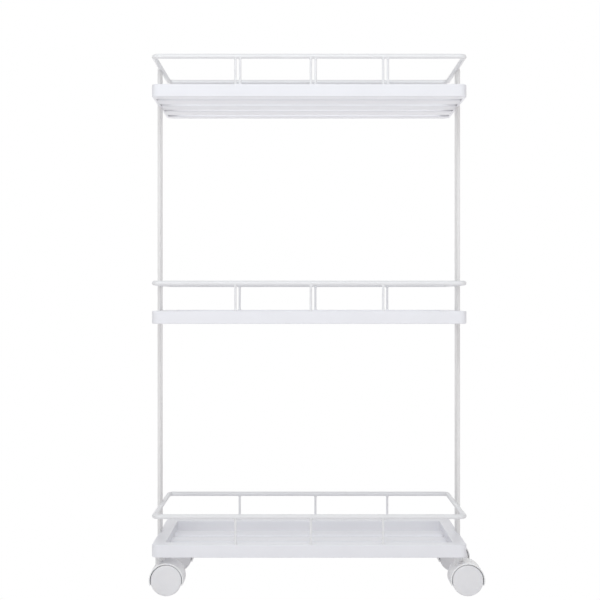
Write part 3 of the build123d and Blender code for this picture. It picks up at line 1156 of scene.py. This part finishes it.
WHEEL_EDGE = 0.0022
WHEEL_INNER_EDGE = 0.0005
WHEEL_RIM = 0.0032
WHEEL_FACE = 0.003
WHEEL_CROWN = 0.0003
WHEEL_HUB = 0.005
WHEEL_BORE = 0.00205
BORE_DEPTH = 0.0023
RIB_HALF = 0.0007
RIB_DRAFT = 0.0002
RIB_LAP = 0.0006
WHEEL_BREAK = 0.0003
CURVE_STEPS = 8
BACK_STEPS = 4

wheel_plastic = moulded_plastic("wheel_nylon_white", (0.85, 0.845, 0.865), 0.32, 0.00002)

rib_tree, given, last = geometry_tree(
    "ribs_round_the_hub",
    {"Ribs": "Int", "Wheel centre": "Vector", "Finish": "Material"},
)
here = add_node(
    rib_tree,
    "GeometryNodeMeshLine",
    {"Count": given.outputs["Ribs"], "Start Location": given.outputs["Wheel centre"]},
    {"Offset": (0.0, 0.0, 0.0)},
)
number = add_node(rib_tree, "GeometryNodeInputIndex")
share = add_node(
    rib_tree,
    "ShaderNodeMath",
    {0: number.outputs[0], 1: given.outputs["Ribs"]},
    operation="DIVIDE",
)
angle = add_node(
    rib_tree, "ShaderNodeMath", {0: share.outputs[0]}, {1: 2 * math.pi}, operation="MULTIPLY"
)
about_axle = add_node(rib_tree, "ShaderNodeCombineXYZ", {"Y": angle.outputs[0]})
turned = add_node(rib_tree, "FunctionNodeEulerToRotation", {0: about_axle.outputs[0]})
star = add_node(
    rib_tree,
    "GeometryNodeInstanceOnPoints",
    {
        "Points": here.outputs[0],
        "Instance": given.outputs["Geometry"],
        "Rotation": turned.outputs[0],
    },
)
finish_tree(rib_tree, star.outputs[0], given, last)

for corner in CORNERS:
    for which in ("outer", "inner"):
        low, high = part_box(f"{corner}_{which}_wheel")
        stem_low, stem_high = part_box(f"{corner}_stem")
        radius = (high[2] - low[2]) / 2
        centre = ((low[0] + high[0]) / 2, (stem_low[1] + stem_high[1]) / 2, (low[2] + high[2]) / 2)
        facing = 1 if (low[1] + high[1]) / 2 > centre[1] else -1
        face = max(abs(low[1] - centre[1]), abs(high[1] - centre[1]))
        back = min(abs(low[1] - centre[1]), abs(high[1] - centre[1]))
        rib_start = (2 * back + face - WHEEL_FACE) / 3

        shape = bmesh.new()
        rings = []
        rib_root = WHEEL_HUB - RIB_LAP
        rib_tip = radius - WHEEL_RIM + RIB_LAP
        rib_end = face - WHEEL_FACE + WHEEL_BREAK
        for y, half in ((rib_start, RIB_HALF - RIB_DRAFT), (rib_end, RIB_HALF)):
            ends = ((rib_root, -half), (rib_tip, -half), (rib_tip, half), (rib_root, half))
            rings.append([(x, facing * y, z) for x, z in ends])
        loft(shape, rings, closed=False)
        wheel = to_object(shape, f"{corner}_{which}_wheel_moulded", wheel_plastic)
        grow(wheel, rib_tree, {"Ribs": 6, "Wheel centre": centre, "Finish": wheel_plastic})

        profile = [(face, 0.0)]
        flat = radius - WHEEL_EDGE
        for step in range(1, CURVE_STEPS + 1):
            out = step / CURVE_STEPS
            profile.append((face - WHEEL_CROWN * out**2, flat * out))
        for step in range(1, CURVE_STEPS + 1):
            turn = math.pi / 2 * step / CURVE_STEPS
            profile.append(
                (
                    face - WHEEL_CROWN - (WHEEL_EDGE - WHEEL_CROWN) * (1 - math.cos(turn)),
                    flat + WHEEL_EDGE * math.sin(turn),
                )
            )
        for step in range(BACK_STEPS + 1):
            turn = math.pi / 2 * step / BACK_STEPS
            profile.append(
                (
                    back + WHEEL_INNER_EDGE * (1 - math.sin(turn)),
                    radius - WHEEL_INNER_EDGE * (1 - math.cos(turn)),
                )
            )
        profile += [
            (back, radius - WHEEL_RIM),
            (face - WHEEL_FACE, radius - WHEEL_RIM),
            (face - WHEEL_FACE, WHEEL_HUB),
            (back + WHEEL_BREAK, WHEEL_HUB),
            (back, WHEEL_HUB - WHEEL_BREAK),
            (back, WHEEL_BORE + WHEEL_BREAK),
            (back + WHEEL_BREAK, WHEEL_BORE),
            (face - BORE_DEPTH, WHEEL_BORE),
            (face - BORE_DEPTH, 0.0),
        ]
        shape = bmesh.new()
        revolve(shape, profile, centre, (0, facing, 0), 96)
        bmesh.ops.recalc_face_normals(shape, faces=shape.faces)
        shape.from_mesh(wheel.data)
        shape.to_mesh(wheel.data)
        shape.free()
        smooth(wheel)
        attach(wheel, f"{corner}_{which}_wheel")
        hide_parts(f"{corner}_{which}_wheel")

# --- floor, light and camera ----------------------------------------------------------------
# Plain white floor, a broad soft panel above and in front, a weak cool one closer in, a long one
# behind, and a level camera a little above half the height of the cart. To the cart the floor
# also glows a little as painted light, dimmer near the middle as a painted shadow under it.

scene = bpy.context.scene
scene.view_settings.view_transform = "Standard"


def shadowless_white(tree, output, plain, surroundings):
    """White to the eye, and a softer white as a source of light for the cart."""
    rays = tree.nodes.new("ShaderNodeLightPath")
    mixed = tree.nodes.new("ShaderNodeMixShader")
    tree.links.new(rays.outputs["Is Camera Ray"], mixed.inputs["Fac"])
    tree.links.new(surroundings.outputs[0], mixed.inputs[1])
    tree.links.new(plain.outputs[0], mixed.inputs[2])
    tree.links.new(mixed.outputs[0], output.inputs["Surface"])


world = bpy.data.worlds.new("studio")
world.use_nodes = True
scene.world = world
plain = world.node_tree.nodes["Background"]
plain.inputs["Color"].default_value = (1.0, 1.0, 1.0, 1.0)
around = world.node_tree.nodes.new("ShaderNodeBackground")
around.inputs["Color"].default_value = (1.0, 0.993, 0.99, 1.0)
around.inputs["Strength"].default_value = 0.46
shadowless_white(world.node_tree, world.node_tree.nodes["World Output"], plain, around)

FLOOR_HALF = 6.0
shape = bmesh.new()
shape.faces.new(
    [
        shape.verts.new((x * FLOOR_HALF, y * FLOOR_HALF, 0.0))
        for x, y in ((-1, -1), (1, -1), (1, 1), (-1, 1))
    ]
)
floor = to_object(shape, "floor")
floor_white = bpy.data.materials.new("floor_white")
floor_white.use_nodes = True
tree = floor_white.node_tree
tree.nodes.remove(tree.nodes["Principled BSDF"])
plain = tree.nodes.new("ShaderNodeEmission")
lit = tree.nodes.new("ShaderNodeBsdfDiffuse")
lit.inputs["Color"].default_value = (0.82, 0.81, 0.81, 1.0)
# Painted light: on top of its real diffuse bounce, the floor glows for the cart, and less near the
# middle as a painted shadow under the cart.
glow = tree.nodes.new("ShaderNodeEmission")
glow.inputs["Color"].default_value = (1.0, 1.0, 1.0, 1.0)
spot = tree.nodes.new("ShaderNodeTexCoord")
reach = tree.nodes.new("ShaderNodeVectorMath")
reach.operation = "LENGTH"
tree.links.new(spot.outputs["Object"], reach.inputs[0])
painted_shadow_fade = tree.nodes.new("ShaderNodeMapRange")
painted_shadow_fade.interpolation_type = "SMOOTHSTEP"
painted_shadow_fade.inputs["From Min"].default_value = 0.2
painted_shadow_fade.inputs["From Max"].default_value = 0.9
painted_shadow_fade.inputs["To Min"].default_value = 0.15
painted_shadow_fade.inputs["To Max"].default_value = 0.3
tree.links.new(reach.outputs["Value"], painted_shadow_fade.inputs["Value"])
tree.links.new(painted_shadow_fade.outputs["Result"], glow.inputs["Strength"])
bounce_and_painted_glow = tree.nodes.new("ShaderNodeAddShader")
tree.links.new(lit.outputs[0], bounce_and_painted_glow.inputs[0])
tree.links.new(glow.outputs[0], bounce_and_painted_glow.inputs[1])
shadowless_white(tree, tree.nodes["Material Output"], plain, bounce_and_painted_glow)
whole = tree.nodes["Material Output"].inputs["Surface"].links[0].from_node
facing_away = tree.nodes.new("ShaderNodeNewGeometry")
clear = tree.nodes.new("ShaderNodeBsdfTransparent")
one_sided = tree.nodes.new("ShaderNodeMixShader")
tree.links.new(facing_away.outputs["Backfacing"], one_sided.inputs["Fac"])
tree.links.new(whole.outputs[0], one_sided.inputs[1])
tree.links.new(clear.outputs[0], one_sided.inputs[2])
tree.links.new(one_sided.outputs[0], tree.nodes["Material Output"].inputs["Surface"])
floor.data.materials.append(floor_white)

PANELS = (
    ("key_panel", (-0.2, -2.0, 2.0), (0.0, 0.0, 0.2), (2.4, 1.8), 26.0, (1.0, 0.995, 0.99)),
    ("backdrop", (0.0, 2.6, 0.9), (0.0, 0.0, 0.5), (5.0, 1.8), 18.0, (1.0, 1.0, 1.0)),
    ("front_panel", (-0.25, -1.2, 1.4), (0.0, 0.0, 0.7), (1.4, 0.8), 2.2, (0.66, 0.88, 1.0)),
)
for title, place, target, size, energy, colour in PANELS:
    light = bpy.data.lights.new(title, "AREA")
    light.shape = "RECTANGLE"
    light.size, light.size_y = size
    light.energy = energy
    light.color = colour
    lamp = bpy.data.objects.new(title, light)
    lamp.location = place
    aim = Vector(target) - lamp.location
    lamp.rotation_euler = aim.to_track_quat("-Z", "Y").to_euler()
    lamp.visible_camera = False
    scene.collection.objects.link(lamp)

lens = bpy.data.cameras.new("camera")
lens.lens = 78.5
lens.sensor_width = 36.0
camera = bpy.data.objects.new("camera", lens)
camera.location = (-0.0116, -1.735, 0.3718)
camera.rotation_euler = (math.radians(90), 0.0, 0.0)
scene.collection.objects.link(camera)
scene.camera = camera
